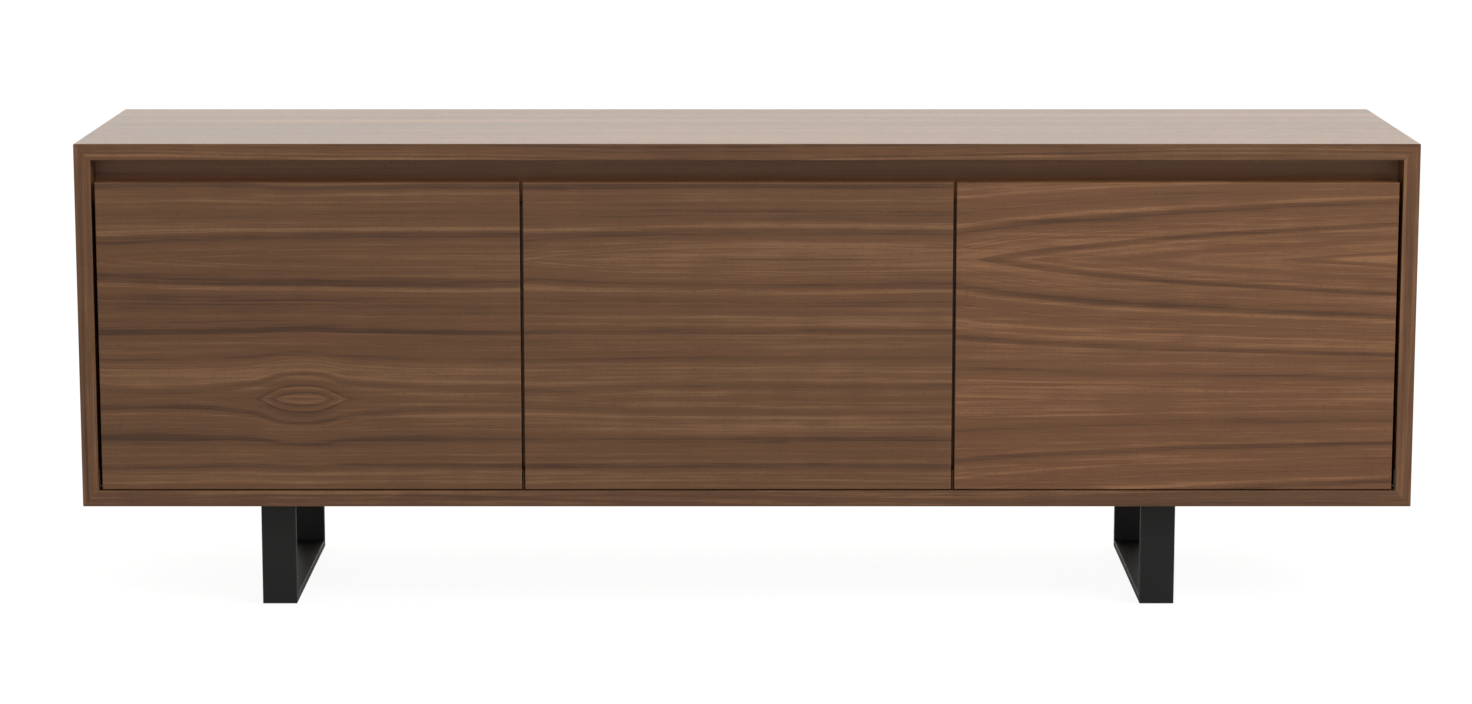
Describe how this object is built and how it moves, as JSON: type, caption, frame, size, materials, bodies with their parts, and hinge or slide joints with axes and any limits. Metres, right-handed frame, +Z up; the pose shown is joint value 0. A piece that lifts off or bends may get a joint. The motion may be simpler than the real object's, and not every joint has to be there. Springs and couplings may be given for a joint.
{
  "type": "media cabinet",
  "caption": "Long low walnut media cabinet with drop-down fronts, a full-width finger recess and black steel loop legs.",
  "frame": {"origin": "on the floor, below the middle of the case", "axes": "+X to the right along the length, +Y to the back, +Z up; the fronts face -Y"},
  "size_m": [1.8, 0.45, 0.64],
  "materials": {
    "case_veneer": "satin lacquered walnut veneer",
    "front_veneer": "satin lacquered walnut veneer, grain across",
    "interior_veneer": "matt lacquered walnut veneer",
    "black_steel": "fine textured black powder coat",
    "hinge_steel": "blackened steel",
    "bright_steel": "zinc plated steel",
    "black_plastic": "moulded nylon",
    "magnet": "sintered ferrite",
    "plywood": "raw birch"
  },
  "bodies": {
    "carcass": {"top_panel": "case_veneer", "bottom_panel": "case_veneer", "left_side_panel": "case_veneer", "right_side_panel": "case_veneer", "finger_rail": "case_veneer", "left_divider": "interior_veneer", "right_divider": "interior_veneer", "left_shelf": "interior_veneer", "centre_shelf": "interior_veneer", "right_shelf": "interior_veneer", "left_back_panel": "interior_veneer", "centre_back_panel": "interior_veneer", "right_back_panel": "interior_veneer", "mitre_splines": "plywood", "divider_dowels": "plywood", "shelf_pins": "bright_steel", "back_panel_screws": "bright_steel", "stay_studs": "hinge_steel", "left_end_pivot": "hinge_steel", "right_end_pivot": "hinge_steel", "left_mid_pivot": "hinge_steel", "right_mid_pivot": "hinge_steel", "leg_screws": "hinge_steel", "left_cable_grommet": "black_plastic", "centre_cable_grommet": "black_plastic", "right_cable_grommet": "black_plastic", "magnetic_catches": "black_plastic", "leg_glides": "black_plastic", "catch_magnets": "magnet", "left_leg_front_post": "black_steel", "left_leg_rear_post": "black_steel", "left_leg_top_bar": "black_steel", "left_leg_runner": "black_steel", "right_leg_front_post": "black_steel", "right_leg_rear_post": "black_steel", "right_leg_top_bar": "black_steel", "right_leg_runner": "black_steel"},
    "left_flap_body": {"left_flap": "front_veneer", "left_pivot_bushes": "black_plastic", "left_stay_brackets": "hinge_steel", "left_strike_plates": "bright_steel"},
    "centre_flap_body": {"centre_flap": "front_veneer", "centre_pivot_bushes": "black_plastic", "centre_stay_brackets": "hinge_steel", "centre_strike_plates": "bright_steel"},
    "right_flap_body": {"right_flap": "front_veneer", "right_pivot_bushes": "black_plastic", "right_stay_brackets": "hinge_steel", "right_strike_plates": "bright_steel"},
    "left_left_stay_body": {"left_left_stay": "hinge_steel"},
    "left_right_stay_body": {"left_right_stay": "hinge_steel"},
    "centre_left_stay_body": {"centre_left_stay": "hinge_steel"},
    "centre_right_stay_body": {"centre_right_stay": "hinge_steel"},
    "right_left_stay_body": {"right_left_stay": "hinge_steel"},
    "right_right_stay_body": {"right_right_stay": "hinge_steel"}
  },
  "joints": [
    {"name": "left_flap_hinge", "type": "hinge", "parent": "carcass", "child": "left_flap_body", "pos_m": [-0.58875, -0.2205, 0.174], "axis": [1, 0, 0], "range_deg": [0, 90]},
    {"name": "centre_flap_hinge", "type": "hinge", "parent": "carcass", "child": "centre_flap_body", "pos_m": [-0.012, -0.2205, 0.174], "axis": [1, 0, 0], "range_deg": [0, 90]},
    {"name": "right_flap_hinge", "type": "hinge", "parent": "carcass", "child": "right_flap_body", "pos_m": [0.57675, -0.2205, 0.174], "axis": [1, 0, 0], "range_deg": [0, 90]},
    {"name": "left_left_stay_pivot", "type": "hinge", "parent": "left_flap_body", "child": "left_left_stay_body", "pos_m": [-0.87075, -0.19678, 0.32211], "axis": [1, 0, 0], "range_deg": [-45, 0]},
    {"name": "left_right_stay_pivot", "type": "hinge", "parent": "left_flap_body", "child": "left_right_stay_body", "pos_m": [-0.32075, -0.19678, 0.32211], "axis": [1, 0, 0], "range_deg": [-45, 0]},
    {"name": "centre_left_stay_pivot", "type": "hinge", "parent": "centre_flap_body", "child": "centre_left_stay_body", "pos_m": [-0.28425, -0.19678, 0.32211], "axis": [1, 0, 0], "range_deg": [-45, 0]},
    {"name": "centre_right_stay_pivot", "type": "hinge", "parent": "centre_flap_body", "child": "centre_right_stay_body", "pos_m": [0.26025, -0.19678, 0.32211], "axis": [1, 0, 0], "range_deg": [-45, 0]},
    {"name": "right_left_stay_pivot", "type": "hinge", "parent": "right_flap_body", "child": "right_left_stay_body", "pos_m": [0.29675, -0.19678, 0.32211], "axis": [1, 0, 0], "range_deg": [-45, 0]},
    {"name": "right_right_stay_pivot", "type": "hinge", "parent": "right_flap_body", "child": "right_right_stay_body", "pos_m": [0.87075, -0.19678, 0.32211], "axis": [1, 0, 0], "range_deg": [-45, 0]}
  ],
  "couplings": [
    {"joint": "left_left_stay_pivot", "follows": "left_flap_hinge", "ratio": -0.5},
    {"joint": "left_right_stay_pivot", "follows": "left_flap_hinge", "ratio": -0.5},
    {"joint": "centre_left_stay_pivot", "follows": "centre_flap_hinge", "ratio": -0.5},
    {"joint": "centre_right_stay_pivot", "follows": "centre_flap_hinge", "ratio": -0.5},
    {"joint": "right_left_stay_pivot", "follows": "right_flap_hinge", "ratio": -0.5},
    {"joint": "right_right_stay_pivot", "follows": "right_flap_hinge", "ratio": -0.5}
  ]
}
